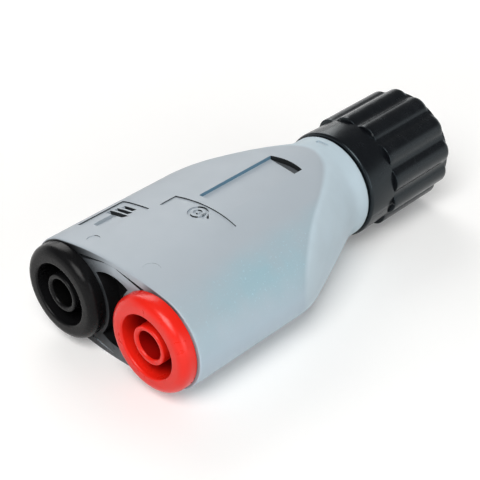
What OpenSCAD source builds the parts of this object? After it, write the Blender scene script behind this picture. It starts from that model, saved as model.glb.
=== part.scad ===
// Test adapter: two 4 mm safety sockets in a crowned plastic housing, joined to a bayonet
// coaxial plug with a fluted coupling ring. Millimetres, +Z up, the part lying on its ring.
// The pieces are drawn along their own axis, from the socket faces at 0 to the ring's end,
// with the housing's marked side towards -Y, and laid down by the module lay_down.

/* [Housing] */
// How far the housing's rounded sides stand beyond the socket flanges
side_margin = 0.5; // [0.3:0.1:1.2]
// Thickness of the housing at the middle of its crowned faces
body_thickness = 18; // [17.4:0.2:19]
// Radius of the housing's rounded sides
side_radius = 8; // [7.9:0.1:8.2]
// Wall thickness of the housing
wall = 1.3; // [1.1:0.1:1.4]
// Angle of the taper between the oval part and the round neck
taper_angle = 22.2; // [20:0.2:24]
// Length of the round neck behind the coupling ring
neck_length = 3.5; // [3:0.25:5]
// Depth of the flat rating panel below the crown
panel_depth = 0.7; // [0.4:0.1:0.9]
// Length of the rating panel
panel_length = 16; // [12:0.5:18]
// Width of the rating panel
panel_width = 6.7; // [5:0.1:8]
// Depth of the two shallow recesses that hold the sunk signs
recess_depth = 0.22; // [0.1:0.02:0.4]

/* [Sockets] */
// Distance between the two socket centres
socket_pitch = 19; // [18.8:0.1:19.2]
// Radius of the socket flanges
flange_radius = 7.7; // [7.3:0.1:7.8]
// Thickness of the socket flanges
flange_thickness = 2.7; // [2:0.1:3]
// Radius of the round gap that takes a plug's sleeve
shroud_radius = 5.1; // [4.9:0.05:5.1]
// Outer radius of the insulating tube around the contact
tube_radius = 3.1; // [3.05:0.05:3.3]
// Radius of the hole that a 4 mm plug enters
contact_bore_radius = 2.0; // [1.95:0.01:2.05]
// Depth of the socket from its face to the floor of the round gap
socket_depth = 18; // [16:0.5:19]

/* [Coupling ring] */
// Length of the whole adapter
total_length = 70.4; // [70:0.2:73]
// Length of the coupling ring with its collar
ring_length = 20.3; // [20:0.1:20.8]
// Radius over the crests of the flutes
crest_radius = 9.9; // [9.6:0.1:10.4]
// Number of flutes
flute_count = 12; // [10:2:16]
// Depth of the valleys between the flutes
flute_depth = 0.75; // [0.4:0.05:0.9]
// Length of the smooth collar behind the flutes
collar_length = 5.9; // [4:0.1:7]
// How far the ring slides forward against its spring washer
ring_travel = 0.6; // [0.3:0.1:0.6]

/* [Coaxial plug] */
// Outer radius of the slotted outer contact
outer_contact_radius = 4.05; // [4.0:0.01:4.08]
// Radius of the coupling's bore around the outer contact
coupling_bore_radius = 4.9; // [4.85:0.01:5.0]
// Radius of the centre pin
pin_radius = 0.675; // [0.66:0.005:0.69]
// Radius of the plug's insulator
insulator_radius = 2.35; // [2.2:0.05:2.4]
// Number of slots in the outer contact
contact_slots = 4; // [4:1:8]

/* [Hidden] */
$fn = 96;

// Crowned section
half_height = body_thickness / 2;
body_width = socket_pitch + 2 * (flange_radius + side_margin);
end_offset = body_width / 2 - side_radius;
crown_radius = (pow(end_offset, 2) + pow(half_height, 2) - pow(side_radius, 2))
    / (2 * (half_height - side_radius));
socket_offset = socket_pitch / 2;

// Places along the axis, from the socket faces to the end of the ring
housing_front = flange_thickness;
carrier_back = housing_front + 3.8;
ring_start = total_length - ring_length;
neck_end = ring_start - 0.3;
neck_start = neck_end - neck_length;
cavity_end = neck_end - 2;
flute_start = ring_start + collar_length;
socket_floor = socket_depth + 1.6;
cup_start = socket_floor + 1.3;
cup_end = cup_start + 4.1;

// Radii along the housing's neck
neck_radius = half_height - 0.1;
neck_bore_radius = neck_radius - 1.6;
wide_radius = 22;
taper_start = neck_start - (wide_radius - neck_radius) / tan(taper_angle);
taper_wall = wall / cos(taper_angle);
inner_taper_end = neck_start - (neck_bore_radius - neck_radius + taper_wall) / tan(taper_angle);
inner_taper_start = inner_taper_end - (wide_radius - neck_bore_radius) / tan(taper_angle);

// Socket bodies
barrel_radius = shroud_radius + 0.7;
contact_radius = contact_bore_radius + 0.6;
contact_front = 4.5;
nut_radius = min(barrel_radius + 0.8, end_offset + side_radius - wall - socket_offset - 0.25);
pocket_edge_radius = flange_radius + 0.5;
pocket_radius = half_height - 2.5;

// Slits between the front plate and the housing, from the middle outwards
slit_start = 1.3;
slit_end = 6.9;

// Coaxial plug, placed from the neck's end face
stem_radius = 4.8;
stem_back = neck_end - 5.8;
plug_flange_end = neck_end + 2.6;
journal_radius = 4.4;
journal_end = neck_end + 7.8;
boss_end = journal_end + 2.4;
sleeve_back = plug_flange_end + 0.3;
sleeve_flange_end = sleeve_back + 1.8;
washer_back = sleeve_flange_end + 0.05;
washer_front = washer_back + 0.5;
spring_back = washer_front + ring_travel + 0.1;
spring_front = spring_back + 0.8;
clip_back = spring_front + 0.05;
clip_front = clip_back + 0.6;
sleeve_front = total_length - 1;
sleeve_radius = coupling_bore_radius + 1.55;
contact_front_end = total_length - 4.4;
insulator_back = stem_back + 0.3;
insulator_front = contact_front_end - 2.8;
pin_step = neck_end + 0.2;
pin_tip = contact_front_end - 0.4;
pin_cup_end = stem_back - 1.5;

// Leads
lead_radius = 0.9;
core_radius = 0.45;
lead_start = cup_end + 1;
lug_offset = 5.4;
bend_start = cup_end + 2;
signal_run = stem_back - 3.4 - bend_start;
ground_run = cavity_end - 9.5 - bend_start;

// Points on an arc, for turned profiles with rounded edges
function arc(cx, cy, r, a0, a1, n = 6) =
    [for (i = [0:n]) [cx + r * cos(a0 + (a1 - a0) * i / n), cy + r * sin(a0 + (a1 - a0) * i / n)]];

// Lays the axis along +Y with the ring's lowest crest at the ground
module lay_down() {
    translate([0, -total_length / 2, crest_radius])
        rotate([-90, 0, 0])
            children();
}

// A ring or tube between two places on the axis
module tube(r_out, r_in, from, to) {
    difference() {
        translate([0, 0, from])
            cylinder(h = to - from, r = r_out);
        translate([0, 0, from - 1])
            cylinder(h = to - from + 2, r = r_in);
    }
}

// Oval section: two crowned faces between rounded sides, set in from the outside
module oval(inset = 0) {
    h = half_height - inset;
    r = side_radius - inset;
    crown = crown_radius - inset;
    reach = end_offset * crown_radius / (crown_radius - side_radius);
    intersection() {
        translate([0, h - crown])
            circle(r = crown, $fn = 360);
        translate([0, crown - h])
            circle(r = crown, $fn = 360);
        union() {
            for (side = [-1, 1])
                translate([side * end_offset, 0])
                    circle(r = r + 0.02);
            square([2 * reach, 6 * half_height], center = true);
        }
    }
}

// Housing: the oval prism cut by a turned taper and neck, hollow, with a wall at the neck
module housing_shape() {
    difference() {
        intersection() {
            translate([0, 0, housing_front])
                linear_extrude(height = neck_end - housing_front)
                    oval();
            rotate_extrude()
                polygon([
                    [0, housing_front - 1],
                    [wide_radius, housing_front - 1],
                    [wide_radius, taper_start],
                    [neck_radius, neck_start],
                    [neck_radius, neck_end - 0.3],
                    [neck_radius - 0.3, neck_end + 0.001],
                    [neck_radius - 0.3, neck_end + 1],
                    [0, neck_end + 1]
                ]);
        }
        intersection() {
            translate([0, 0, housing_front - 1])
                linear_extrude(height = cavity_end - housing_front + 1)
                    oval(wall);
            rotate_extrude()
                polygon([
                    [0, housing_front - 2],
                    [wide_radius, housing_front - 2],
                    [wide_radius, inner_taper_start],
                    [neck_bore_radius, inner_taper_end],
                    [neck_bore_radius, cavity_end + 1],
                    [0, cavity_end + 1]
                ]);
        }
        translate([0, 0, housing_front - 1])
            linear_extrude(height = 2.1)
                front_joint();
        stem_shape(0.06, cavity_end - 1, neck_end + 1);
        for (side = [-1, 1])
            translate([-5.8, side * (half_height - wall + 0.35 - 0.5) - 0.5, carrier_back + 2.2])
                cube([11.6, 1, 1.2]);
        translate([-panel_width / 2, -half_height - 1, panel_start()])
            cube([panel_width, 1 + panel_depth, panel_length]);
        panel_end_slot();
        shallow_recess()
            translate([-socket_offset - 3.3, carrier_back + 0.9])
                square([6.2, 9]);
        shallow_recess()
            intersection() {
                translate([-6.2, panel_start() - 5.5])
                    square([12.9, 8]);
                translate([0.3, panel_start() - 1.5 - 30])
                    circle(r = 30, $fn = 180);
            }
    }
}

// Slot with a bowed edge, slightly deeper than the panel, along the panel's end
module panel_end_slot() {
    panel_end = panel_start() + panel_length;
    bow = 10.9;
    rise = bow - sqrt(pow(bow, 2) - pow(panel_width / 2, 2));
    translate([0, panel_depth + 0.25 - half_height, 0])
        rotate([90, 0, 0])
            linear_extrude(height = 3)
                intersection() {
                    translate([0, panel_end + rise + 0.02 - bow])
                        circle(r = bow, $fn = 360);
                    translate([-panel_width / 2, panel_end - 0.05])
                        square([panel_width, 2]);
                }
}

// Cutter for a recess of even depth in the crowned face, from its outline seen from above
module shallow_recess() {
    intersection() {
        rotate([90, 0, 0])
            linear_extrude(height = half_height + 1)
                children();
        difference() {
            translate([0, 0, total_length / 2])
                cube([2 * body_width, 2 * body_width, 2 * total_length], center = true);
            translate([0, 0, -1])
                linear_extrude(height = total_length + 2)
                    oval(recess_depth);
        }
    }
}

// The rating panel ends where the taper begins to narrow the crown
function panel_start() = neck_start - 6.6 - panel_length;

// Threaded stem of the plug with one flat, drawn with a margin for its hole
module stem_shape(margin, from, to) {
    difference() {
        translate([0, 0, from])
            cylinder(h = to - from, r = stem_radius + margin);
        translate([stem_radius - 0.6 + margin, -8, from - 1])
            cube([4, 16, to - from + 2]);
    }
}

// Outline of the joint between the carrier's front plate and the housing's mouth, set in
module front_joint(margin = 0) {
    high = half_height - 0.8 - margin;
    low = half_height - 1.75 - margin;
    intersection() {
        oval(0.8 + margin);
        polygon([
            [-slit_start, high], [slit_start, high], [slit_end, low], [body_width, low],
            [body_width, -low], [slit_end, -low], [slit_start, -high], [-slit_start, -high],
            [-slit_end, -low], [-body_width, -low], [-body_width, low], [-slit_end, low]
        ]);
    }
}

// Space between the sockets in the carrier's face
module pocket_section() {
    difference() {
        circle(r = pocket_radius);
        for (side = [-1, 1])
            translate([side * socket_offset, 0])
                circle(r = pocket_edge_radius);
    }
}

// Socket carrier: the black end cap that fills the housing's mouth and holds both sockets
module carrier_shape() {
    tongue_base = half_height - wall - 0.15;
    difference() {
        union() {
            translate([0, 0, housing_front])
                linear_extrude(height = 1.05)
                    front_joint(0.05);
            translate([0, 0, housing_front])
                linear_extrude(height = carrier_back - housing_front)
                    oval(wall + 0.06);
            for (side = [-1, 1])
                intersection() {
                    translate([0, 0, carrier_back - 0.5])
                        linear_extrude(height = 4.7)
                            oval(wall + 0.06);
                    translate([-5.5, side * (tongue_base - 0.55) - 0.55, carrier_back - 1])
                        cube([11, 1.1, 6]);
                }
            for (side = [-1, 1])
                translate([-5, side * (half_height - wall - 0.45) - 0.45, carrier_back + 2.35])
                    cube([10, 0.9, 0.9]);
        }
        for (side = [-1, 1])
            translate([side * socket_offset, 0, flange_thickness - 1])
                cylinder(h = 8, r = barrel_radius + 0.05);
        translate([0, 0, housing_front - 1])
            linear_extrude(height = 3.4)
                pocket_section();
        for (side = [-1, 1])
            for (part = [-1, 1])
                translate([0, 0, housing_front - 1])
                    linear_extrude(height = 2.2)
                        polygon([
                            [part * slit_start, side * half_height],
                            [part * slit_start, side * (half_height - 0.87)],
                            [part * slit_end, side * (half_height - 2.12)],
                            [part * slit_end, side * half_height]
                        ]);
    }
}

// Safety socket body: rounded flange, outer sleeve, floor and the tube around the contact
module socket_shape() {
    difference() {
        rotate_extrude()
            polygon(concat(
                [[shroud_radius, socket_depth], [shroud_radius, 0.35]],
                arc(shroud_radius + 0.35, 0.35, 0.35, 180, 270, 3),
                arc(flange_radius - 1.5, 1.5, 1.5, -90, 0, 7),
                arc(flange_radius - 0.25, flange_thickness - 0.27, 0.25, 0, 90, 3),
                [[barrel_radius, flange_thickness - 0.02]],
                [[barrel_radius, socket_floor]],
                [[contact_radius + 0.05, socket_floor]],
                [[contact_radius + 0.05, contact_front - 0.05]],
                [[contact_bore_radius + 0.45, contact_front - 0.05]],
                [[contact_bore_radius + 0.45, 0.7]],
                arc(contact_bore_radius + 0.65, 0.7, 0.2, 180, 270, 3),
                arc(tube_radius - 0.2, 0.7, 0.2, -90, 0, 3),
                [[tube_radius, socket_depth]]
            ));
        for (side = [0, 180])
            rotate([0, 0, side])
                translate([-0.6, shroud_radius + 0.3, carrier_back + 4])
                    cube([1.2, 2, socket_floor - carrier_back]);
    }
}

module at_socket(side) {
    translate([side * socket_offset, 0, 0])
        children();
}

// Turned contact: bore for a 4 mm plug, a collar and a solder cup with an open side
module contact_shape(side) {
    difference() {
        union() {
            translate([0, 0, contact_front])
                cylinder(h = cup_start - contact_front, r = contact_radius);
            translate([0, 0, socket_floor + 0.05])
                cylinder(h = cup_start - socket_floor - 0.05, r = contact_radius + 0.8);
            translate([0, 0, cup_start - 0.5])
                cylinder(h = cup_end - cup_start + 0.5, r = 1.5);
        }
        translate([0, 0, contact_front - 1])
            cylinder(h = socket_floor + 0.6 - contact_front + 1, r = contact_bore_radius);
        translate([0, 0, cup_start + 0.9])
            cylinder(h = 5, r = 0.8);
        translate([-side * 2.9, 0, cup_end + 0.2])
            cube([4, 4, 4.4], center = true);
    }
}

// Slotted ring nuts behind the carrier, one for each socket
module ring_nuts_shape() {
    for (side = [-1, 1])
        at_socket(side)
            difference() {
                tube(nut_radius, barrel_radius + 0.03, carrier_back + 0.05, carrier_back + 2.4);
                for (turn = [45:90:315])
                    rotate([0, 0, turn])
                        translate([barrel_radius + 0.25, -0.8, carrier_back + 1.4])
                            cube([3, 1.6, 2]);
            }
}

// Path of a lead: straight, two equal bends that shift it sideways over the run, straight, with
// a ball slightly wider than the lead at each joint
module lead_path(r, from, to, start_x, shift, run) {
    way = sign(shift);
    angle = 2 * atan(abs(shift) / run);
    bend = abs(shift) / (2 * (1 - cos(angle)));
    translate([start_x, 0, from])
        cylinder(h = bend_start - from, r = r);
    translate([start_x + way * bend, 0, bend_start])
        rotate([90, 0, 0])
            rotate([0, 0, way > 0 ? 180 - angle : 0])
                rotate_extrude(angle = angle)
                    translate([bend, 0])
                        circle(r = r, $fn = 32);
    translate([start_x + shift - way * bend, 0, bend_start + run])
        rotate([90, 0, 0])
            rotate([0, 0, way > 0 ? -angle : 180])
                rotate_extrude(angle = angle)
                    translate([bend, 0])
                        circle(r = r, $fn = 32);
    translate([start_x + shift, 0, bend_start + run])
        cylinder(h = to - bend_start - run, r = r);
    for (joint = [0:2])
        translate([start_x + shift * joint / 2, 0, bend_start + run * joint / 2])
            sphere(r = r + 0.03, $fn = 48);
}

module signal_path(r, from, to) {
    lead_path(r, from, to, socket_offset, -socket_offset, signal_run);
}

module ground_path(r, from, to) {
    lead_path(r, from, to, -socket_offset, socket_offset - lug_offset, ground_run);
}

// Shrunk tube over a solder joint, wide over the cup and narrow over the lead
module solder_sleeve_shape() {
    rotate_extrude()
        polygon([
            [1.55, cup_start + 0.4],
            [1.85, cup_start + 0.4],
            [1.85, cup_end + 0.2],
            [1.25, cup_end + 1.1],
            [1.25, cup_end + 1.9],
            [0.95, cup_end + 1.9],
            [0.95, cup_end + 1],
            [1.55, cup_end + 0.1]
        ]);
}

// Solder lug: a flat ring under the lock nut with a tab bent back towards the sockets
module lug_shape() {
    difference() {
        union() {
            tube(6.4, stem_radius + 0.06, cavity_end - 0.55, cavity_end - 0.03);
            translate([-6.4, -1.5, cavity_end - 6.8])
                cube([0.5, 3, 6.3]);
        }
        translate([-8, 0, cavity_end - 5.6])
            rotate([0, 90, 0])
                cylinder(h = 4, r = 0.7);
    }
}

// Plug body: threaded stem, stop flange, journal for the ring, groove and front boss
module plug_body_shape() {
    difference() {
        union() {
            stem_shape(0, stem_back, neck_end + 0.5);
            translate([0, 0, neck_end + 0.02])
                cylinder(h = plug_flange_end - neck_end - 0.02, r = 6.6);
            translate([0, 0, neck_end + 1])
                cylinder(h = journal_end - neck_end - 1, r = journal_radius);
            translate([0, 0, journal_end - 1])
                cylinder(h = boss_end - journal_end + 1, r = outer_contact_radius - 0.6);
        }
        translate([0, 0, stem_back - 1])
            cylinder(h = 3.6, r = insulator_radius + 0.9);
        translate([0, 0, stem_back])
            cylinder(h = boss_end - stem_back + 1, r = insulator_radius + 0.03);
        tube(journal_radius + 1, journal_radius - 0.4, clip_back - 0.02, clip_front + 0.02);
    }
}

// Insulator: a rear shoulder, a long nose and a stepped hole for the pin
module insulator_shape() {
    difference() {
        union() {
            translate([0, 0, insulator_back])
                cylinder(h = 2.28, r = insulator_radius + 0.85);
            translate([0, 0, insulator_back + 1])
                cylinder(h = insulator_front - insulator_back - 1, r = insulator_radius);
        }
        translate([0, 0, insulator_back - 1])
            cylinder(h = pin_step - insulator_back + 1, r = 1.2);
        translate([0, 0, pin_step - 1])
            cylinder(h = insulator_front - pin_step + 2, r = pin_radius + 0.04);
    }
}

// Centre pin: rounded tip, shoulder and solder cup
module pin_shape() {
    difference() {
        rotate_extrude()
            polygon([
                [0, pin_cup_end],
                [1.15, pin_cup_end],
                [1.15, pin_step - 0.05],
                [pin_radius, pin_step - 0.05],
                [pin_radius, pin_tip - 0.8],
                [pin_radius * 0.75, pin_tip - 0.2],
                [pin_radius * 0.4, pin_tip],
                [0, pin_tip]
            ]);
        translate([0, 0, pin_cup_end - 1])
            cylinder(h = 4, r = 0.7);
    }
}

// Outer contact: a ring on the boss and springy fingers with a rounded lip
module outer_contact_shape() {
    base = journal_end + 0.05;
    inner = outer_contact_radius - 0.55;
    difference() {
        rotate_extrude()
            polygon([
                [inner, base],
                [outer_contact_radius, base],
                [outer_contact_radius, contact_front_end - 0.5],
                [outer_contact_radius - 0.2, contact_front_end],
                [inner + 0.1, contact_front_end],
                [inner, contact_front_end - 0.3]
            ]);
        for (slot = [0:contact_slots - 1])
            rotate([0, 0, slot * 360 / contact_slots + 45])
                translate([2, -0.25, base + 2.6])
                    cube([4, 0.5, 20]);
    }
}

// Open spring clip in the plug body's groove
module clip_shape() {
    difference() {
        tube(journal_radius + 0.8, journal_radius - 0.35, clip_back, clip_front);
        translate([0, 2, clip_back - 1])
            cube([8, 8, 4]);
    }
}

// Bowed spring washer, drawn at its pressed height
module spring_washer_shape() {
    bow = 32;
    thick = 0.3;
    intersection() {
        tube(journal_radius + 0.9, journal_radius + 0.1, spring_back, spring_front);
        translate([0, 8, spring_back + bow])
            rotate([90, 0, 0])
                difference() {
                    cylinder(h = 16, r = bow);
                    translate([0, 0, -1])
                        cylinder(h = 18, r = bow - thick);
                }
    }
}

// Path of one bayonet slot: straight entry, a rising ramp and a wider detent
module bayonet_slot() {
    ramp_turn = 78;
    entry = 3.4;
    rise = 3.2;
    steps = 16;
    translate([0, -1.1, sleeve_front - entry])
        cube([sleeve_radius + 1, 2.2, entry + 1]);
    for (i = [0:steps])
        rotate([0, 0, ramp_turn * i / steps])
            translate([0, 0, sleeve_front - entry - rise * i / steps])
                rotate([0, 90, 0])
                    cylinder(h = sleeve_radius + 1, r = 1.1);
    rotate([0, 0, ramp_turn + 5])
        translate([0, 0, sleeve_front - entry - rise + 0.35])
            rotate([0, 90, 0])
                cylinder(h = sleeve_radius + 1, r = 1.3);
}

// Bayonet sleeve: turns on the plug body's journal and pulls the mating studs along its ramps
module bayonet_sleeve_shape() {
    difference() {
        rotate_extrude()
            polygon([
                [journal_radius + 0.06, sleeve_back],
                [sleeve_radius - 0.3, sleeve_back],
                [sleeve_radius, sleeve_back + 0.3],
                [sleeve_radius, sleeve_front],
                [coupling_bore_radius + 0.35, sleeve_front],
                [coupling_bore_radius, sleeve_front - 0.35],
                [coupling_bore_radius, clip_front + 0.9],
                [journal_radius + 1.3, clip_front + 0.6],
                [journal_radius + 1.3, sleeve_flange_end],
                [journal_radius + 0.06, sleeve_flange_end]
            ]);
        bayonet_slot();
        rotate([0, 0, 180])
            bayonet_slot();
    }
}

// Coupling ring: smooth collar, fluted grip and the stepped bore that holds the sleeve
module coupling_ring_shape() {
    valley_radius = crest_radius - flute_depth;
    cutter = 1.5;
    edge = 0.6;
    difference() {
        rotate_extrude()
            polygon(concat(
                [[7.4, ring_start]],
                [[valley_radius - 0.05, ring_start]],
                [[valley_radius + 0.2, ring_start + 0.3]],
                [[valley_radius + 0.05, flute_start]],
                [[crest_radius - 0.3, flute_start]],
                [[crest_radius, flute_start + 0.3]],
                arc(crest_radius - edge, total_length - edge, edge, 0, 90, 5),
                [[coupling_bore_radius + 1.35, total_length]],
                [[coupling_bore_radius + 1, total_length - 0.35]],
                [[coupling_bore_radius + 1, sleeve_front + 0.03]],
                [[sleeve_radius + 0.03, sleeve_front + 0.03]],
                [[sleeve_radius + 0.03, sleeve_back + 0.2]],
                [[7.4, sleeve_back + 0.2]]
            ));
        for (flute = [0:flute_count - 1])
            rotate([0, 0, (flute + 0.5) * 360 / flute_count - 10])
                translate([valley_radius + cutter, 0, flute_start - 0.001])
                    cylinder(h = ring_length, r = cutter);
    }
}

module housing_shell() {
    color([0.72, 0.76, 0.8])
        lay_down()
            housing_shape();
}

module socket_carrier() {
    color([0.06, 0.06, 0.07])
        lay_down()
            carrier_shape();
}

module black_socket() {
    color([0.05, 0.05, 0.05])
        lay_down()
            at_socket(-1)
                socket_shape();
}

module red_socket() {
    color([0.85, 0.12, 0.1])
        lay_down()
            at_socket(1)
                socket_shape();
}

module black_contact() {
    color([0.85, 0.72, 0.35])
        lay_down()
            at_socket(-1)
                contact_shape(-1);
}

module red_contact() {
    color([0.85, 0.72, 0.35])
        lay_down()
            at_socket(1)
                contact_shape(1);
}

module socket_ring_nuts() {
    color([0.1, 0.1, 0.1])
        lay_down()
            ring_nuts_shape();
}

module signal_lead() {
    color([0.8, 0.1, 0.1])
        lay_down()
            difference() {
                signal_path(lead_radius, lead_start, stem_back - 2.6);
                signal_path(core_radius + 0.05, lead_start - 1, stem_back - 1.6);
            }
}

module signal_lead_core() {
    color([0.8, 0.5, 0.3])
        lay_down()
            signal_path(core_radius, cup_start + 1.2, stem_back + 0.8);
}

module ground_lead() {
    color([0.1, 0.1, 0.1])
        lay_down()
            difference() {
                ground_path(lead_radius, lead_start, bend_start + ground_run + 0.8);
                ground_path(core_radius + 0.05, lead_start - 1, bend_start + ground_run + 1.8);
            }
}

module ground_lead_core() {
    color([0.8, 0.5, 0.3])
        lay_down()
            ground_path(core_radius, cup_start + 1.2, cavity_end - 4.6);
}

module red_solder_sleeve() {
    color([0.6, 0.08, 0.08])
        lay_down()
            at_socket(1)
                solder_sleeve_shape();
}

module black_solder_sleeve() {
    color([0.1, 0.1, 0.1])
        lay_down()
            at_socket(-1)
                solder_sleeve_shape();
}

module pin_solder_sleeve() {
    color([0.1, 0.1, 0.1])
        lay_down()
            tube(1.5, 1.2, stem_back - 3.2, stem_back + 0.1);
}

module ground_lug() {
    color([0.75, 0.75, 0.72])
        lay_down()
            lug_shape();
}

module lock_nut() {
    color([0.75, 0.72, 0.6])
        lay_down()
            difference() {
                translate([0, 0, cavity_end - 3.1])
                    rotate([0, 0, 30])
                        cylinder(h = 2.5, r = 6.1, $fn = 6);
                translate([0, 0, cavity_end - 4])
                    cylinder(h = 4, r = stem_radius + 0.03);
            }
}

module plug_body() {
    color([0.75, 0.76, 0.78])
        lay_down()
            plug_body_shape();
}

module plug_insulator() {
    color([0.93, 0.93, 0.9])
        lay_down()
            insulator_shape();
}

module centre_pin() {
    color([0.9, 0.75, 0.35])
        lay_down()
            pin_shape();
}

module outer_contact() {
    color([0.8, 0.8, 0.82])
        lay_down()
            outer_contact_shape();
}

module plug_gasket() {
    color([0.75, 0.3, 0.2])
        lay_down()
            tube(coupling_bore_radius - 0.3, outer_contact_radius + 0.03, journal_end + 0.05,
                journal_end + 1.2);
}

module retaining_clip() {
    color([0.6, 0.6, 0.62])
        lay_down()
            clip_shape();
}

module spring_washer() {
    color([0.65, 0.65, 0.67])
        lay_down()
            spring_washer_shape();
}

module thrust_washer() {
    color([0.7, 0.7, 0.72])
        lay_down()
            tube(journal_radius + 1.1, journal_radius + 0.08, washer_back, washer_front);
}

module bayonet_sleeve() {
    color([0.75, 0.76, 0.78])
        lay_down()
            bayonet_sleeve_shape();
}

module coupling_ring() {
    color([0.05, 0.05, 0.06])
        lay_down()
            coupling_ring_shape();
}

housing_shell();
socket_carrier();
black_socket();
red_socket();
black_contact();
red_contact();
socket_ring_nuts();
signal_lead();
signal_lead_core();
ground_lead();
ground_lead_core();
red_solder_sleeve();
black_solder_sleeve();
pin_solder_sleeve();
ground_lug();
lock_nut();
plug_body();
plug_insulator();
centre_pin();
outer_contact();
plug_gasket();
retaining_clip();
spring_washer();
thrust_washer();
bayonet_sleeve();
coupling_ring();
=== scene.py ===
import math

import bmesh
import bpy
import numpy as np
from mathutils import Euler, Matrix, Vector


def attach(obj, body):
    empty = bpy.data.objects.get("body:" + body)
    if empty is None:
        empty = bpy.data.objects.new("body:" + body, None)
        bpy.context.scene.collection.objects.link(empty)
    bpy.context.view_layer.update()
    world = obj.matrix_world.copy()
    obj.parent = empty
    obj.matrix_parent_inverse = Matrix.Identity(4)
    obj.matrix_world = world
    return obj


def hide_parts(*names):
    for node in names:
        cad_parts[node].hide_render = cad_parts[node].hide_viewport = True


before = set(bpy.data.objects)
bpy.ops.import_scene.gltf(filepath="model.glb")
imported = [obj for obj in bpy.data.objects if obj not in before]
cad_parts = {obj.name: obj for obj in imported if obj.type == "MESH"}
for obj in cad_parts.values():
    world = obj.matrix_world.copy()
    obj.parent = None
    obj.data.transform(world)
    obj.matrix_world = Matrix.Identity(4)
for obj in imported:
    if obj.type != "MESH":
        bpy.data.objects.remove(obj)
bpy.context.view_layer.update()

# Sizes in millimetres. A place is (across, along, up): across from the black socket to the red
# one, along the axis from the socket faces to the ring's end, and up from the axis.
MM = 0.001
FULL_LENGTH = 70.4
AXIS_HEIGHT = 9.9
SOCKET_OFFSET = 9.5

# The housing's oval has a wide crown arc above and below and a tighter arc at each side. A cone
# turned about the axis cuts it down to the round neck.
HALF_HEIGHT = 9.0
SIDE_RADIUS = 8.0
END_OFFSET = 9.7
WALL = 1.3
CROWN_RADIUS = (END_OFFSET**2 + HALF_HEIGHT**2 - SIDE_RADIUS**2) / (2 * (HALF_HEIGHT - SIDE_RADIUS))
CROWN_CENTRE = HALF_HEIGHT - CROWN_RADIUS
CROWN_ANGLE = math.atan2(END_OFFSET, -CROWN_CENTRE)
TAPER = math.tan(math.radians(22.2))
NECK_RADIUS = 8.9
NECK_START = 46.3
NECK_END = 49.8
CAVITY_END = 47.8
NECK_BORE = 7.3
HOUSING_FRONT = 2.7

# The two slits on each side of the front joint run from SLIT_START to SLIT_END across.
SLIT_START = 1.3
SLIT_END = 6.9


# Shared tools

def to_frame(places):
    """Metres in the part's frame for places in millimetres."""
    return (np.asarray(places, float) + (0.0, -FULL_LENGTH / 2, AXIS_HEIGHT)) * MM


def on_part(place):
    """A place in the part's frame as millimetres (across, along, up)."""
    x, y, z = place / MM
    return x, y + FULL_LENGTH / 2, z - AXIS_HEIGHT


def tidy(mesh, crisp):
    """Joins doubled points, turns the faces outwards and shades smooth up to the crisp angle."""
    work = bmesh.new()
    work.from_mesh(mesh)
    bmesh.ops.remove_doubles(work, verts=work.verts, dist=2e-6)
    bmesh.ops.dissolve_degenerate(work, edges=work.edges, dist=1e-7)
    bmesh.ops.recalc_face_normals(work, faces=work.faces)
    work.to_mesh(mesh)
    work.free()
    mesh.shade_smooth()
    mesh.set_sharp_from_angle(angle=math.radians(crisp))


def solid(name, places, faces, finish=None, crisp=32.0):
    """A mesh object from places in millimetres."""
    mesh = bpy.data.meshes.new(name)
    mesh.from_pydata([tuple(p) for p in to_frame(places)], [], [tuple(int(i) for i in f) for f in faces])
    piece = bpy.data.objects.new(name, mesh)
    bpy.context.scene.collection.objects.link(piece)
    if finish:
        mesh.materials.append(finish)
    tidy(mesh, crisp)
    return piece


def band_faces(rows, columns, closed=True):
    """Quads between rows of points that run all the way round; closed joins the last row to the first."""
    index = np.arange(rows * columns).reshape(rows, columns)
    first = index if closed else index[:-1]
    second = np.roll(index, -1, 0) if closed else index[1:]
    quads = np.stack([first, np.roll(first, -1, 1), np.roll(second, -1, 1), second], -1)
    return quads.reshape(-1, 4).tolist()


def soft_corners(corners, steps):
    """Outline from (radius, along, corner radius) entries, each corner rounded by an arc."""
    outline = []
    for i, (across, along, corner_radius) in enumerate(corners):
        corner = np.array((across, along), float)
        back = np.array(corners[i - 1][:2], float) - corner
        on = np.array(corners[(i + 1) % len(corners)][:2], float) - corner
        back_length, on_length = np.linalg.norm(back), np.linalg.norm(on)
        back, on = back / back_length, on / on_length
        half = math.acos(max(-1.0, min(1.0, float(back @ on)))) / 2
        if corner_radius <= 0 or half > math.pi / 2 - 0.01:
            outline.append(corner)
            continue
        cut = min(corner_radius / math.tan(half), 0.49 * back_length, 0.49 * on_length)
        radius = cut * math.tan(half)
        centre = corner + (back + on) / np.linalg.norm(back + on) * radius / math.sin(half)
        start, end = corner + back * cut - centre, corner + on * cut - centre
        first = math.atan2(start[1], start[0])
        sweep = math.remainder(math.atan2(end[1], end[0]) - first, 2 * math.pi)
        for k in range(steps + 1):
            angle = first + sweep * k / steps
            outline.append(centre + radius * np.array((math.cos(angle), math.sin(angle))))
    return np.array(outline)


def turned(name, outline, finish, centre, steps):
    """A solid turned about a line beside the long axis, from a closed outline."""
    angle = np.arange(steps) * 2 * math.pi / steps
    radius, along = outline[:, :1], outline[:, 1:]
    places = np.stack([centre + radius * np.cos(angle), along + 0 * angle, radius * np.sin(angle)], -1)
    return solid(name, places.reshape(-1, 3), band_faces(len(outline), steps), finish)


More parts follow.
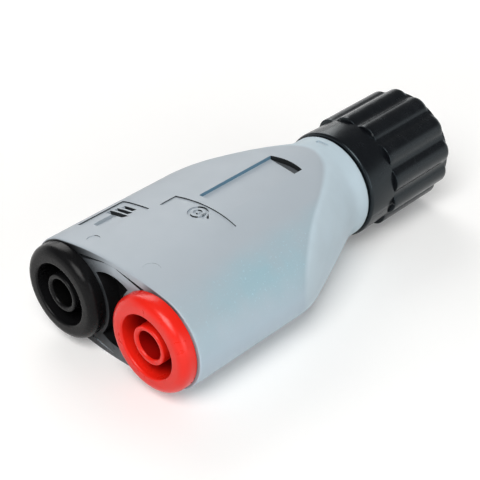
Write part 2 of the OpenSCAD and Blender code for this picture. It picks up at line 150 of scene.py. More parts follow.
def stacked(name, sections, finish=None):
    """A solid from sections of equal point counts, closed by a flat face at each end."""
    sections = np.asarray(sections, float)
    rows, columns = sections.shape[:2]
    faces = band_faces(rows, columns, closed=False)
    faces.append(list(range(columns)))
    faces.append(list(range((rows - 1) * columns, rows * columns)))
    return solid(name, sections.reshape(-1, 3), faces, finish)


def block(low, high):
    """A box between two corners."""
    (x0, s0, z0), (x1, s1, z1) = low, high
    ring = [(x0, z0), (x1, z0), (x1, z1), (x0, z1)]
    return stacked("block", [[(x, s, z) for x, z in ring] for s in (s0, s1)])


def joined(pieces):
    """One object from several that don't touch."""
    work = bmesh.new()
    for piece in pieces:
        work.from_mesh(piece.data)
        bpy.data.objects.remove(piece)
    mesh = bpy.data.meshes.new("joined")
    work.to_mesh(mesh)
    work.free()
    whole = bpy.data.objects.new("joined", mesh)
    bpy.context.scene.collection.objects.link(whole)
    return whole


def settle(piece):
    """Turns a piece's modifiers into its plain mesh."""
    bpy.context.view_layer.update()
    graph = bpy.context.evaluated_depsgraph_get()
    mesh = bpy.data.meshes.new_from_object(piece.evaluated_get(graph))
    piece.modifiers.clear()
    piece.data = mesh
    mesh.name = piece.name


def carve(piece, cutter, operation="DIFFERENCE"):
    """Cuts a tool out of a piece, joins it on or keeps what they share, and removes the tool."""
    step = piece.modifiers.new("carve", "BOOLEAN")
    step.operation = operation
    step.solver = "EXACT"
    step.object = cutter
    settle(piece)
    bpy.data.objects.remove(cutter)


# Finishes

class Nodes:
    """A node tree that is being built: each call adds a node and joins its inputs."""

    def __init__(self, tree):
        self.tree = tree

    def add(self, kind, settings=None, **inputs):
        """A node with its settings, and its inputs named as the node names them."""
        node = self.tree.nodes.new(kind)
        for key, value in (settings or {}).items():
            setattr(node, key, value)
        for key, value in inputs.items():
            self.join(node.inputs[key.replace("_", " ")], value)
        return node

    def join(self, socket, value):
        """Links an input to another node, or sets it to a number or colour."""
        if isinstance(value, bpy.types.NodeSocket):
            self.tree.links.new(value, socket)
        else:
            socket.default_value = value

    def math(self, operation, *values):
        """The result of one sum."""
        node = self.add("ShaderNodeMath", {"operation": operation})
        for socket, value in zip(node.inputs, values):
            self.join(socket, value)
        return node.outputs[0]

    def product(self, *values):
        """All the values multiplied, from the first on."""
        result = values[0]
        for value in values[1:]:
            result = self.math("MULTIPLY", result, value)
        return result

    def distance(self, first, second):
        """Distance from a line, from how far off a point is in two directions."""
        return self.math("SQRT", self.math("ADD", self.product(first, first), self.product(second, second)))

    def range(self, value, low, high, to_low, to_high):
        """Carries a value from one range to another and holds it at the ends."""
        ends = {"From Min": low, "From Max": high, "To Min": to_low, "To Max": to_high}
        return self.add("ShaderNodeMapRange", Value=value, **ends).outputs["Result"]


class Finish(Nodes):
    """A material whose nodes read the part's own places."""

    def __init__(self, name):
        self.material = bpy.data.materials.new(name)
        self.material.use_nodes = True
        super().__init__(self.material.node_tree)
        self.shader = self.tree.nodes["Principled BSDF"]
        self.place = self.add("ShaderNodeTexCoord").outputs["Object"]

    def directions(self):
        """How far each point is across, along and up, in millimetres as the sizes above."""
        node = self.add("ShaderNodeVectorMath", {"operation": "MULTIPLY_ADD"})
        start = (0.0, FULL_LENGTH / 2, -AXIS_HEIGHT)
        for socket, value in zip(node.inputs, (self.place, (1 / MM, 1 / MM, 1 / MM), start)):
            self.join(socket, value)
        return self.add("ShaderNodeSeparateXYZ", Vector=node.outputs[0]).outputs

    def noise(self, scale, detail, stretch=None):
        """Soft random patches; scale is how many there are in a metre."""
        place = self.place
        if stretch:
            place = self.add("ShaderNodeMapping", Vector=place, Scale=stretch).outputs[0]
        return self.add("ShaderNodeTexNoise", Vector=place, Scale=scale, Detail=detail).outputs["Fac"]

    def mix(self, share, first, second):
        """One colour where the share is 0 and the other where it is 1."""
        node = self.add("ShaderNodeMix", {"data_type": "RGBA"})
        self.join(node.inputs[0], share)
        self.join(node.inputs[6], first)
        self.join(node.inputs[7], second)
        return node.outputs[2]

    def coat(self, colour, roughness, height, strength, depth):
        """Joins the colour, the roughness and the fine relief to the shader."""
        self.join(self.shader.inputs["Base Color"], colour)
        self.join(self.shader.inputs["Roughness"], roughness)
        relief = self.add("ShaderNodeBump", Strength=strength, Distance=depth, Height=height)
        self.join(self.shader.inputs["Normal"], relief.outputs[0])

    def shine(self, **numbers):
        """Sets numbers and colours that are the same all over on the shader's own sockets."""
        for key, value in numbers.items():
            self.shader.inputs[key.replace("_", " ")].default_value = value


HOUSING_GREY = (0.4, 0.447, 0.49)
# Painted light on the housing: a lighter, bluer taper, a teal sheen of reflected light, and bluish light on
# the low right side
TAPER_BLUE = (0.51, 0.61, 0.67)
SHEEN_TEAL = (0.32, 0.47, 0.53)
SIDE_BLUE = (0.46, 0.55, 0.625)
SOCKET_BLACK = (0.006, 0.006, 0.0065)
# Dark red painted as shade in the red socket's deep gap and bore
GAP_SHADE_RED = (0.3, 0.002, 0.001)

# Where the shade of the front wall changes, in millimetres across, up and along
WALL_BLACK_SIDE = (-9.2, 0.6)
WALL_RED_SIDE = (6.6, 8.8)
WALL_RED_RIM = (12.5, 15.0)
WALL_TOP = (3.5, 6.8)
WALL_BOTTOM = (-6.8, -4.5)
WALL_DEPTH = (HOUSING_FRONT + 0.01, HOUSING_FRONT + 0.06)

# Where the painted bluish light and the painted teal sheen on the housing's right side fade in or out, in
# millimetres
LOW_SIDE_ACROSS = (6.0, 13.0)
LOW_SIDE_UP = (0.0, 5.0)
SHEEN_ACROSS = (9.5, 14.8)
SHEEN_UP = (-1.0, 4.5)
SHEEN_ALONG = (3.0, 20.0)

# How far inside the cone a point of the turned taper may lie, and where the cone is drawn from
TAPER_INSIDE = (0.1, 0.4)
CONE_FROM = 15.0

# Radius of a socket's gap with a little to spare, and the depths between which painted shade darkens it
GAP_REACH = (5.12, 5.3)
GAP_DARKENS = (0.8, 4.5)


def shade(colour, factor=1.0):
    """A colour made darker or lighter, with the fourth number that the nodes ask for."""
    return tuple(min(1.0, c * factor) for c in colour) + (1.0,)


def front_wall(finish, base):
    """The level front wall, painted with light and shade: grey over the pocket, darker towards either socket
    and lower down, and grey again at the rim beyond the red socket."""
    across, along, up = finish.directions()
    lit = finish.product(
        finish.range(across, *WALL_BLACK_SIDE, 0, 1), finish.range(across, *WALL_RED_SIDE, 1, 0.5)
    )
    bands = finish.math("ADD", finish.range(up, *WALL_TOP, 0.12, 1), finish.range(up, *WALL_BOTTOM, 0.15, 0))
    lit = finish.product(lit, lit, bands)
    lit = finish.math("MAXIMUM", lit, finish.range(across, *WALL_RED_RIM, 0, 0.7))
    wall = finish.mix(lit, shade(SOCKET_BLACK), shade(HOUSING_GREY, 0.95))
    return finish.mix(finish.range(along, *WALL_DEPTH, 0, 1), wall, base)


def painted_housing_light(finish, base):
    """Painted light on the housing: bluish light on the low right side, a teal sheen with glints above it,
    and a lighter, bluer taper.
    """
    across, along, up = finish.directions()
    # Bluish fill light painted on the low right side
    low = finish.product(finish.range(across, *LOW_SIDE_ACROSS, 0, 1), finish.range(up, *LOW_SIDE_UP, 1, 0))
    base = finish.mix(low, base, shade(SIDE_BLUE))
    # A teal sheen of reflected light painted above it, with speckled painted glints
    side = finish.product(
        finish.range(across, *SHEEN_ACROSS, 0, 1), finish.range(up, *SHEEN_UP, 0.1, 1),
        finish.range(along, *SHEEN_ALONG, 0.55, 1),
    )
    sheen = finish.product(side, finish.range(finish.noise(150, 4), 0.36, 0.62, 0.4, 1))
    base = finish.mix(sheen, base, shade(SHEEN_TEAL))
    glints = finish.product(side, finish.range(finish.noise(3300, 2), 0.63, 0.7, 0, 0.5))
    base = finish.mix(glints, base, shade(SHEEN_TEAL, 1.4))
    # The turned taper painted lighter and bluer, as light falls on it
    ends = [NECK_RADIUS + (NECK_START - s) * TAPER for s in (CONE_FROM, NECK_START)]
    cone = finish.range(along, CONE_FROM, NECK_START, *ends)
    inside = finish.math("SUBTRACT", cone, finish.distance(across, up))
    taper = finish.mix(finish.noise(190, 3), shade(TAPER_BLUE, 0.9), shade(TAPER_BLUE, 1.08))
    return finish.mix(finish.range(inside, *TAPER_INSIDE, 1, 0), base, taper)


def shaded_gap(finish, base):
    """The red socket's ring-shaped gap, painted a darker red as shade towards its bottom."""
    across, along, up = finish.directions()
    aside = finish.math("SUBTRACT", across, SOCKET_OFFSET)
    deep = finish.product(finish.range(finish.distance(aside, up), *GAP_REACH, 1, 0),
                          finish.range(along, *GAP_DARKENS, 0, 1))
    return finish.mix(deep, base, shade(GAP_SHADE_RED))


def plastic(name, colour, roughness, grain=0.00001, grain_scale=9000, mottle=0.05, edge=0.0, patch=260,
            wall=False, tints=None, **shine):
    """Moulded plastic: faint patches of shade and gloss, a fine grain, and a highlight painted on the edges.

    grain is the depth of the grain in metres, and grain_scale and patch are counts in a metre.
    """
    finish = Finish(name)
    base = finish.mix(finish.noise(patch, 3), shade(colour, 1 - mottle), shade(colour, 1 + mottle))
    if tints:
        base = tints(finish, base)
    # Painted light and shade on the front wall
    if wall:
        base = front_wall(finish, base)
    # Edges painted lighter as a highlight
    if edge:
        pointed = finish.add("ShaderNodeNewGeometry").outputs["Pointiness"]
        edge_highlight = tuple(1.1 * c + 0.09 for c in colour)
        base = finish.mix(finish.range(pointed, 0.54, 0.62, 0, edge), base, shade(edge_highlight))
    dull = finish.range(finish.noise(patch * 2.3, 4), 0.3, 0.7, roughness - 0.04, roughness + 0.05)
    finish.coat(base, dull, finish.noise(grain_scale, 2), 0.5, grain)
    finish.shine(**shine)
    return finish.material


def metal(name, colour, roughness, turned_lines=True):
    """Turned or drawn metal: fine lines, faint stains and a little dullness."""
    mottle, line_count, line_depth = 0.06, 2600, 0.000004
    finish = Finish(name)
    base = finish.mix(finish.noise(500, 4), shade(colour, 1 - mottle), shade(colour, 1 + mottle))
    dull = finish.range(finish.noise(1300, 3), 0.3, 0.7, roughness - 0.05, roughness + 0.07)
    stretch = (0.02, 1.0, 0.02) if turned_lines else (1.0, 0.03, 1.0)
    finish.coat(base, dull, finish.noise(line_count, 3, stretch), 0.6, line_depth)
    finish.shine(Metallic=1.0)
    return finish.material


# The housing carries painted light on its right side and taper, and painted light and shade on its front wall
housing_grey = plastic("housing_grey", HOUSING_GREY, 0.42, grain=0.000012, grain_scale=6500, mottle=0.03,
                       patch=170, wall=True, tints=painted_housing_light, Specular_IOR_Level=0.28)
# Painted shade colours for walls and floors in the sunk marks
recess_black = plastic("recess_black", (0.016, 0.018, 0.019), 0.5, mottle=0.1, Specular_IOR_Level=0.2)
recess_grey = plastic("recess_grey", (0.09, 0.1, 0.11), 0.45, mottle=0.1, Specular_IOR_Level=0.2)
slope_light = plastic("slope_light", (0.62, 0.66, 0.7), 0.42, mottle=0.05, Specular_IOR_Level=0.28)
panel_blue = plastic("panel_blue", (0.13, 0.24, 0.33), 0.45, mottle=0.1, Specular_IOR_Level=0.2)
socket_black = plastic("socket_black", SOCKET_BLACK, 0.27, grain=0.000002, mottle=0.12,
                       Specular_IOR_Level=0.12)
# The carrier's front plate carries the same painted light and shade as the housing's front wall
carrier_black = plastic("carrier_black", SOCKET_BLACK, 0.3, grain=0.000005, mottle=0.12, wall=True,
                        Specular_IOR_Level=0.12)
socket_red = plastic("socket_red", (0.82, 0.016, 0.007), 0.3, grain=0.000002, mottle=0.04,
                     tints=shaded_gap, Specular_IOR_Level=0.35)
# Darker copies of the socket colours, painted as shade inside the sockets' bores
bore_black = plastic("bore_black", (0.002, 0.002, 0.002), 0.4, mottle=0.12, Specular_IOR_Level=0.1)
bore_red = plastic("bore_red", GAP_SHADE_RED, 0.4, mottle=0.08, Specular_IOR_Level=0.15)
nut_black = plastic("nut_black", (0.03, 0.03, 0.03), 0.5, mottle=0.1)
# The ring's edges carry a painted highlight
ring_black = plastic("ring_black", (0.005, 0.0055, 0.007), 0.24, grain=0.000004, grain_scale=8000,
                     mottle=0.12, edge=0.6, Specular_IOR_Level=0.36, Specular_Tint=(0.74, 0.92, 1.0, 1.0))
lead_red = plastic("lead_red", (0.5, 0.02, 0.014), 0.42, mottle=0.07)
lead_black = plastic("lead_black", (0.02, 0.02, 0.02), 0.45, mottle=0.1)
insulator_white = plastic("insulator_white", (0.78, 0.77, 0.72), 0.5, mottle=0.03)
gasket_red = plastic("gasket_red", (0.42, 0.09, 0.045), 0.62, mottle=0.1)
gold = metal("gold", (0.78, 0.56, 0.25), 0.24)
nickel = metal("nickel", (0.66, 0.64, 0.6), 0.27)
tin = metal("tin", (0.6, 0.6, 0.58), 0.38, turned_lines=False)
spring_grey = metal("spring_grey", (0.42, 0.42, 0.43), 0.34)
copper = metal("copper", (0.72, 0.36, 0.2), 0.32, turned_lines=False)


# Housing

OVAL_STEP = 0.35
RIM_INSET = 0.8
SLIT_DROP = 0.95
TAPER_FROM = 24.5
STEM_HOLE = 4.86
STEM_HOLE_FLAT = 4.26

# The sunk panel and the deeper slot with a bowed edge at its far end
PANEL_EDGE = 3.35
PANEL_NEAR = 23.7
PANEL_FAR = 39.7
PANEL_FLOOR = 8.3
SLOT_FLOOR = 8.05
SLOT_NEAR = 38.6
BOW_RADIUS = 10.9
CUTTER_TOP = 10

# The two shallow recesses: one near the black socket, and one before the panel with an arc at its far side
RECESS_DEPTH = 0.22
SOCKET_RECESS_ACROSS = (-12.8, -6.6)
SOCKET_RECESS_ALONG = (7.4, 16.4)
PANEL_RECESS_ACROSS = (-6.2, 6.7)
PANEL_RECESS_NEAR = 18.2
RECESS_ARC_ACROSS = 0.3
RECESS_ARC_CENTRE = -7.8
RECESS_ARC_RADIUS = 30.0

# The coaxial sign: its place, the width and floor of its strokes, and how far up its cutters reach
COAX_SIGN = (-0.15, 20.3)
COAX_STROKE = 0.3
COAX_FLOOR = 8.52
COAX_TOP = 9.6

# Where the earth sign has its slopes painted with a highlight: the ends of its bars, and the near end of its
# stem
BAR_ENDS_ACROSS = (-10.2, -7.4)
BAR_ENDS_ALONG = (12.3, 15.5)
STEM_END_ACROSS = (-10.8, -9.2)
STEM_END_ALONG = (8.1, 9.1)

# A face counts as a wall when its normal leans at least this much towards a direction
STEEP = 0.75


def oval(inset=0.0):
    """The crowned oval, set in from the outside, counter-clockwise from the right side."""
    side_steps = round((math.pi / 2 - CROWN_ANGLE) * SIDE_RADIUS / OVAL_STEP)
    crown_steps = round(CROWN_ANGLE * CROWN_RADIUS / OVAL_STEP)
    side = np.linspace(0, math.pi / 2 - CROWN_ANGLE, side_steps + 1)
    crown = np.linspace(math.pi / 2 - CROWN_ANGLE, math.pi / 2, crown_steps + 1)[1:]
    r, big = SIDE_RADIUS - inset, CROWN_RADIUS - inset
    quarter = np.vstack([
        np.stack([END_OFFSET + r * np.cos(side), r * np.sin(side)], -1),
        np.stack([big * np.cos(crown), CROWN_CENTRE + big * np.sin(crown)], -1),
    ])
    half = np.vstack([quarter[:-1], (quarter[::-1] * (-1, 1))[:-1]])
    return np.vstack([half, -half])


def crown_height(across, inset=0.0):
    """Height of the crowned face above the axis at a distance across."""
    across = np.abs(across)
    on_crown = CROWN_CENTRE + np.sqrt(np.maximum((CROWN_RADIUS - inset) ** 2 - across**2, 0))
    on_side = np.sqrt(np.maximum((SIDE_RADIUS - inset) ** 2 - (across - END_OFFSET) ** 2, 0))
    return np.where(across < (CROWN_RADIUS - inset) * math.sin(CROWN_ANGLE), on_crown, on_side)


def upright(outline, station):
    """Places of an outline that stands across the axis at one station."""
    return np.stack([outline[:, 0], np.full(len(outline), station), outline[:, 1]], -1)


def front_joint(margin=0.0):
    """Outline of the joint between the housing's mouth and the carrier's front plate."""
    rim = oval(RIM_INSET + margin)
    middle = HALF_HEIGHT - RIM_INSET - margin
    side = middle - SLIT_DROP
    limit = np.interp(np.abs(rim[:, 0]), [SLIT_START, SLIT_END], [middle, side])
    return np.stack([rim[:, 0], np.clip(rim[:, 1], -limit, limit)], -1)


def housing_radius(section_radius, sideways, station):
    """Distance from the axis where the oval meets the turned taper, the two melted together."""
    fall = (NECK_START - station) * TAPER
    cone = NECK_RADIUS - 0.02 + 0.5 * (fall + math.hypot(fall, 0.42))
    along_taper = min(1.0, max(0.0, (station - TAPER_FROM) / (NECK_START - TAPER_FROM)))
    bulge = 0.3 * max(0.0, math.sin(math.pi * along_taper))
    cone = cone + bulge * sideways**4
    melt = np.clip(0.8 * (section_radius - NECK_RADIUS), 0.12, 0.85)
    near = np.clip(1 - np.abs(section_radius - cone) / melt, 0, 1)
    return np.minimum(section_radius, cone) - near**2 * melt / 4


def build_housing():
    """The housing's shell: neck, taper and oval outside, cavity inside, and the plug's flatted hole."""
    outline = oval()
    section_radius = np.hypot(outline[:, 0], outline[:, 1])
    turn = np.arctan2(outline[:, 1], outline[:, 0])
    direction = np.stack([np.cos(turn), np.sin(turn)], -1)
    sideways = np.abs(direction[:, 0])

    def ring(radius, station):
        """A ring of points at one station, with one radius or a radius for each point."""
        flat = direction * np.asarray(radius).reshape(-1, 1)
        return np.stack([flat[:, 0], np.full(len(flat), station), flat[:, 1]], -1)

    def outside(station, inset=0.0):
        """The outer skin's ring at one station, drawn in by the inset."""
        return ring(housing_radius(section_radius, sideways, station) - inset, station)

    rows = [outside(NECK_END, 0.3), outside(NECK_END - 0.09, 0.09), outside(NECK_END - 0.3)]
    rows += [outside(s) for s in np.arange(NECK_END - 0.7, TAPER_FROM + 0.1, -0.27)]
    rows += [outside(s) for s in np.linspace(TAPER_FROM - 0.1, HOUSING_FRONT + 0.8, 15)]
    for depth, inset in ((0.32, 0.0), (0.16, 0.04), (0.05, 0.13), (0.0, 0.28)):
        rows.append(upright(oval(inset), HOUSING_FRONT + depth))

    inner = oval(WALL)
    inner_turn = np.arctan2(inner[:, 1], inner[:, 0])
    order = np.argsort(inner_turn)
    inner_radius = np.interp(
        turn, inner_turn[order], np.hypot(inner[:, 0], inner[:, 1])[order], period=2 * math.pi
    )
    inner_end = NECK_START - (NECK_BORE - NECK_RADIUS + WALL / math.cos(math.atan(TAPER))) / TAPER
    rows.append(ring(inner_radius, HOUSING_FRONT))
    for s in [3.9, *np.arange(5.0, 20, 2.5), *np.arange(20.5, CAVITY_END, 1.1), CAVITY_END]:
        limit = NECK_BORE + max(0.0, inner_end - s) * TAPER
        rows.append(ring(np.minimum(inner_radius, limit), s))
    flat = STEM_HOLE_FLAT / np.maximum(direction[:, 0], 0.01)
    hole = np.where(direction[:, 0] > 0, np.minimum(STEM_HOLE, flat), STEM_HOLE)
    rows += [ring(hole, CAVITY_END), ring(hole, NECK_END)]
    places = np.concatenate(rows)
    return solid("Housing", places, band_faces(len(rows), len(outline)), housing_grey, 28)


def sunk(samples):
    """A cutter over the crowned face from (across, near, far, near slope, depth) entries."""
    sections = []
    for across, near, far, near_slope, depth in samples:
        top, floor = float(crown_height(across)) + 0.6, float(crown_height(across, depth))
        sections.append([(across, near, top), (across, far, top), (across, far, floor),
                         (across, near + near_slope, floor)])
    return stacked("sunk", sections)


def trough(x0, x1, near, far, depth, left, right, near_slope=0.0):
    """A straight sunk stroke; its left, right and near ends slope up over the lengths given."""
    samples = []
    for x in np.unique(np.concatenate([np.linspace(x0, x1, 7), [x0 + left, x1 - right]])):
        fade = min(1.0, (x - x0) / left, (x1 - x) / right)
        samples.append((x, near, far, near_slope, 0.1 + (depth - 0.1) * fade))
    return sunk(samples)


def disc(x, s, radius, depth):
    """A shallow round mark."""
    samples = []
    for t in np.linspace(-0.999, 0.999, 25):
        reach = radius * math.sqrt(1 - t * t)
        samples.append((x + radius * t, s - reach, s + reach, 0, depth))
    return sunk(samples)


def ring_groove(x, s, inner, outer, floor, top):
    """An upright ring-shaped cutter."""
    angle = np.arange(48) * 2 * math.pi / 48
    rows = [
        np.stack([x + r * np.cos(angle), s + r * np.sin(angle), np.full(48, z)], -1)
        for r, z in ((inner, floor), (outer, floor), (outer, top), (inner, top))
    ]
    return solid("groove", np.concatenate(rows), band_faces(4, 48))


def plan_cut(corners, floor, top):
    """An upright cutter with an outline seen from above."""
    return stacked("plan", [[(x, s, z) for x, s in corners] for z in (floor, top)])


def sign_stroke(start, end):
    """A straight stroke of the coaxial sign between two places seen from above."""
    start, end = np.array(start), np.array(end)
    along = end - start
    side = np.array((-along[1], along[0])) / np.linalg.norm(along) * COAX_STROKE / 2
    return plan_cut([start + side, end + side, end - side, start - side], COAX_FLOOR, COAX_TOP)


def build_housing_marks(housing):
    """The sunk panel, the two shallow recesses, the signs sunk in them and the mould's marks."""
    panel = block((-PANEL_EDGE, PANEL_NEAR, PANEL_FLOOR), (PANEL_EDGE, PANEL_FAR, CUTTER_TOP))
    bow_across = np.linspace(-PANEL_EDGE, PANEL_EDGE, 21)
    bow_centre = PANEL_FAR + 0.02 - math.sqrt(BOW_RADIUS**2 - PANEL_EDGE**2)
    bow = [(x, bow_centre + math.sqrt(BOW_RADIUS**2 - x * x)) for x in bow_across]
    # The slot's near edge slants to follow the far wall's cast shadow, which is painted over the slot as
    # shade
    slot_corners = [(-PANEL_EDGE, PANEL_FAR - 0.05), *bow, (PANEL_EDGE, SLOT_NEAR)]
    panel_slot = plan_cut(slot_corners, SLOT_FLOOR, CUTTER_TOP)
    mouth = stacked("mouth", [upright(front_joint(), s) for s in (HOUSING_FRONT - 1, HOUSING_FRONT + 1.1)])
    near_socket = sunk([
        (x, *SOCKET_RECESS_ALONG, 0, RECESS_DEPTH) for x in np.linspace(*SOCKET_RECESS_ACROSS, 13)
    ])
    before_panel = []
    for x in np.linspace(*PANEL_RECESS_ACROSS, 19):
        far = RECESS_ARC_CENTRE + math.sqrt(RECESS_ARC_RADIUS**2 - (x - RECESS_ARC_ACROSS) ** 2)
        before_panel.append((x, PANEL_RECESS_NEAR, far, 0, RECESS_DEPTH))
    neck_mark = block((-0.9, 47.7, 8.66), (1.3, 48.5, 9.5))
    snaps = [block((-5.8, 8.7, z), (5.8, 9.9, z + 1)) for z in (7.05, -8.05)]
    ejectors = [disc(-6.6, 5.35, 1.0, 0.09), disc(5.6, 5.55, 1.35, 0.03)]
    carve(housing, joined([panel, near_socket, sunk(before_panel), neck_mark, mouth, *snaps, *ejectors]))
    carve(housing, panel_slot)

    stem = trough(-10.7, -9.3, 8.25, 12.6, 0.75, left=0.1, right=0.35, near_slope=0.7)
    wide_bar = trough(-12.2, -7.5, 12.35, 13.3, 0.9, left=0.2, right=2.0)
    middle_bar = trough(-11.7, -7.8, 13.6, 14.35, 0.85, left=0.2, right=1.7)
    short_bar = trough(-11.2, -8.1, 14.7, 15.4, 0.85, left=0.2, right=1.5)
    shield = ring_groove(*COAX_SIGN, 1.2, 1.62, 8.5, COAX_TOP)
    core = ring_groove(*COAX_SIGN, 0.3, 0.72, 8.55, COAX_TOP)
    tails = [sign_stroke((0.85, 20.45), (1.75, 19.6)), sign_stroke((1.3, 20.9), (2.25, 20.05))]
    carve(housing, joined([stem, middle_bar, short_bar, shield, core]))
    carve(housing, joined([wide_bar, *tails]))
    tidy(housing.data, 28)
    paint_shade_and_highlights(housing)
    return housing


def within(value, ends):
    """Whether a value lies between two ends."""
    return ends[0] < value < ends[1]


def paint_shade_and_highlights(housing):
    """Painted shade and highlights: black on the far walls of the sunk marks and in the slot, grey on the
    slot's floor and the recesses' left edges, bluish on the panel's left wall, and a highlight on the earth
    sign's sloping ends."""
    # Slots of the painted shade colours and of the painted highlight
    black, blue, grey, light = 1, 2, 3, 4
    for finish in (recess_black, panel_blue, recess_grey, slope_light):
        housing.data.materials.append(finish)
    for face in housing.data.polygons:
        x, station, up = on_part(face.center)
        if up <= 7.0:
            continue
        facing, along_facing, up_facing = face.normal
        in_slot = abs(x) < PANEL_EDGE - 0.01 and SLOT_NEAR - 0.1 < station < PANEL_FAR + 0.6 and up < 8.2
        far_wall = 4.5 < station < PANEL_FAR + 0.7 and along_facing < -STEEP
        socket_recess_edge = x < SOCKET_RECESS_ACROSS[0] + 0.1 and within(station, SOCKET_RECESS_ALONG)
        panel_recess_edge = abs(x - PANEL_RECESS_ACROSS[0]) < 0.05 and PANEL_RECESS_NEAR < station < 22.4
        panel_edge = abs(x + PANEL_EDGE) < 0.05 and PANEL_NEAR < station < PANEL_FAR
        bar_end = within(x, BAR_ENDS_ACROSS) and within(station, BAR_ENDS_ALONG) and -0.95 < facing < -0.2
        stem_end = within(x, STEM_END_ACROSS) and within(station, STEM_END_ALONG) and along_facing > 0.3
        # The sloping ends of the earth sign take a painted highlight
        if stem_end or (bar_end and along_facing > -STEEP):
            face.material_index = light
        elif facing > STEEP and (socket_recess_edge or panel_recess_edge):
            face.material_index = grey
        # The slot is painted as shadow: grey on its floor, black on its walls
        elif in_slot and up_facing > STEEP:
            face.material_index = grey
        elif in_slot or far_wall:
            face.material_index = black
        elif panel_edge and facing > STEEP:
            face.material_index = blue


# Socket carrier

CARRIER_INSET = 1.36
CARRIER_BACK = 6.5
TONGUE_END = 10.7
TONGUE_EDGE = 5.5
TONGUE_UNDER = 6.45
BARREL_HOLE = 5.85
POCKET_RADIUS = 6.5
POCKET_FLOOR = 5.1
SOCKET_WALL = 8.2
SLIT_FLOOR = 3.9
CUT_FRONT = 1.7


def round_cut(radius, centre, near, far):
    """A round cutter along the axis, or along a line beside it."""
    outline = np.array([(0.0, near), (radius, near), (radius, far), (0.0, far)])
    return turned("cut", outline, None, centre, 96)


def build_carrier():
    """The end cap: a front plate level with the housing's rim, the barrel holes, pocket and tongues."""
    plate = [upright(front_joint(0.05), s) for s in (HOUSING_FRONT, HOUSING_FRONT + 1.05)]
    carrier = stacked("Carrier", plate, carrier_black)
    inside = oval(CARRIER_INSET)
    carve(carrier, stacked("body", [upright(inside, s) for s in (3.0, CARRIER_BACK)]), "UNION")
    for side in (-1, 1):
        tongue = stacked("tongue", [upright(inside, s) for s in (CARRIER_BACK - 0.3, TONGUE_END)])
        low, high = sorted((side * TONGUE_UNDER, side * HALF_HEIGHT))
        carve(tongue, block((-TONGUE_EDGE, 6.0, low), (TONGUE_EDGE, 11.0, high)), "INTERSECT")
        carve(carrier, tongue, "UNION")
        low, high = sorted((side * 7.3, side * 8.0))
        carve(carrier, block((0.5 - TONGUE_EDGE, 8.85, low), (TONGUE_EDGE - 0.5, 9.75, high)), "UNION")

    carve(carrier, joined([round_cut(BARREL_HOLE, side * SOCKET_OFFSET, 0.0, 12.0) for side in (-1, 1)]))
    pocket = round_cut(POCKET_RADIUS, 0.0, CUT_FRONT, POCKET_FLOOR)
    for side in (-1, 1):
        carve(pocket, round_cut(SOCKET_WALL, side * SOCKET_OFFSET, 0.0, 9.0))
    carve(carrier, pocket)
    wedge = [(SLIT_START, 9.0), (SLIT_START, 8.1), (SLIT_END, 6.68), (SLIT_END, 9.0)]
    slits = []
    for side in (-1, 1):
        for part in (-1, 1):
            sections = [[(part * x, s, side * z) for x, z in wedge] for s in (CUT_FRONT, SLIT_FLOOR)]
            slits.append(stacked("slit", sections))
    carve(carrier, joined(slits))
    edge = carrier.modifiers.new("edge", "BEVEL")
    edge.width = 0.07 * MM
    edge.segments = 2
    edge.limit_method = "ANGLE"
    edge.angle_limit = math.radians(40)
    settle(carrier)
    tidy(carrier.data, 30)
    # The slits' inner faces are painted black as shade
    carrier.data.materials.append(recess_black)
    for face in carrier.data.polygons:
        x, station, up = on_part(face.center)
        by_slit = SLIT_START < abs(x) < SLIT_END and abs(up) > 6.6
        if by_slit and HOUSING_FRONT + 0.03 < station < SLIT_FLOOR + 0.1:
            face.material_index = 1
    return carrier


# Sockets

FLANGE_RADIUS = 7.7
FLANGE_BACK = 2.68
FLANGE_ROUND_ACROSS = 1.45
FLANGE_ROUND_ALONG = 1.5
BARREL_RADIUS = 5.8
BARREL_BACK = 19.6
GAP_RADIUS = 5.1
GAP_FLOOR = 18.0
TUBE_RADIUS = 3.1
TUBE_FRONT = 0.5
TUBE_BORE = 2.27
CONTACT_FRONT = 4.45
CONTACT_SEAT = 2.65
KEYWAY_EDGE = 0.6


def build_socket(name, side, finish, bore_finish):
    """Rounded flange, deep ring-shaped gap, the tube that covers the contact, and two keyways."""
    centre = side * SOCKET_OFFSET
    front = [
        (FLANGE_RADIUS - FLANGE_ROUND_ACROSS * (1 - math.sin(t)), FLANGE_ROUND_ALONG * (1 - math.cos(t)), 0.0)
        for t in np.linspace(0, math.pi / 2, 17)
    ]
    outline = soft_corners([
        (GAP_RADIUS, GAP_FLOOR, 0.2), (GAP_RADIUS, 0.0, 0.35), *front, (FLANGE_RADIUS, FLANGE_BACK, 0.25),
        (BARREL_RADIUS, FLANGE_BACK, 0.0), (BARREL_RADIUS, BARREL_BACK, 0.2),
        (CONTACT_SEAT, BARREL_BACK, 0.0), (CONTACT_SEAT, CONTACT_FRONT, 0.0),
        (TUBE_BORE, CONTACT_FRONT, 0.08), (TUBE_BORE, TUBE_FRONT, 0.42),
        (TUBE_RADIUS, TUBE_FRONT, 0.24), (TUBE_RADIUS, GAP_FLOOR, 0.2),
    ], 8)
    socket = turned(name, outline, finish, centre, 160)
    keyways = []
    for way in (-1, 1):
        low, high = sorted((way * 5.4, way * 7.4))
        keyways.append(block((centre - KEYWAY_EDGE, 10.5, low), (centre + KEYWAY_EDGE, 23.6, high)))
    carve(socket, joined(keyways))
    tidy(socket.data, 32)
    socket.data.materials.append(bore_finish)
    # Faces deep in the tube's bore take the bore's painted shade
    for face in socket.data.polygons:
        x, station, up = on_part(face.center)
        if math.hypot(x - centre, up) < TUBE_BORE + 0.07 and station > TUBE_FRONT + 0.4:
            face.material_index = 1
    return socket


# Coupling ring

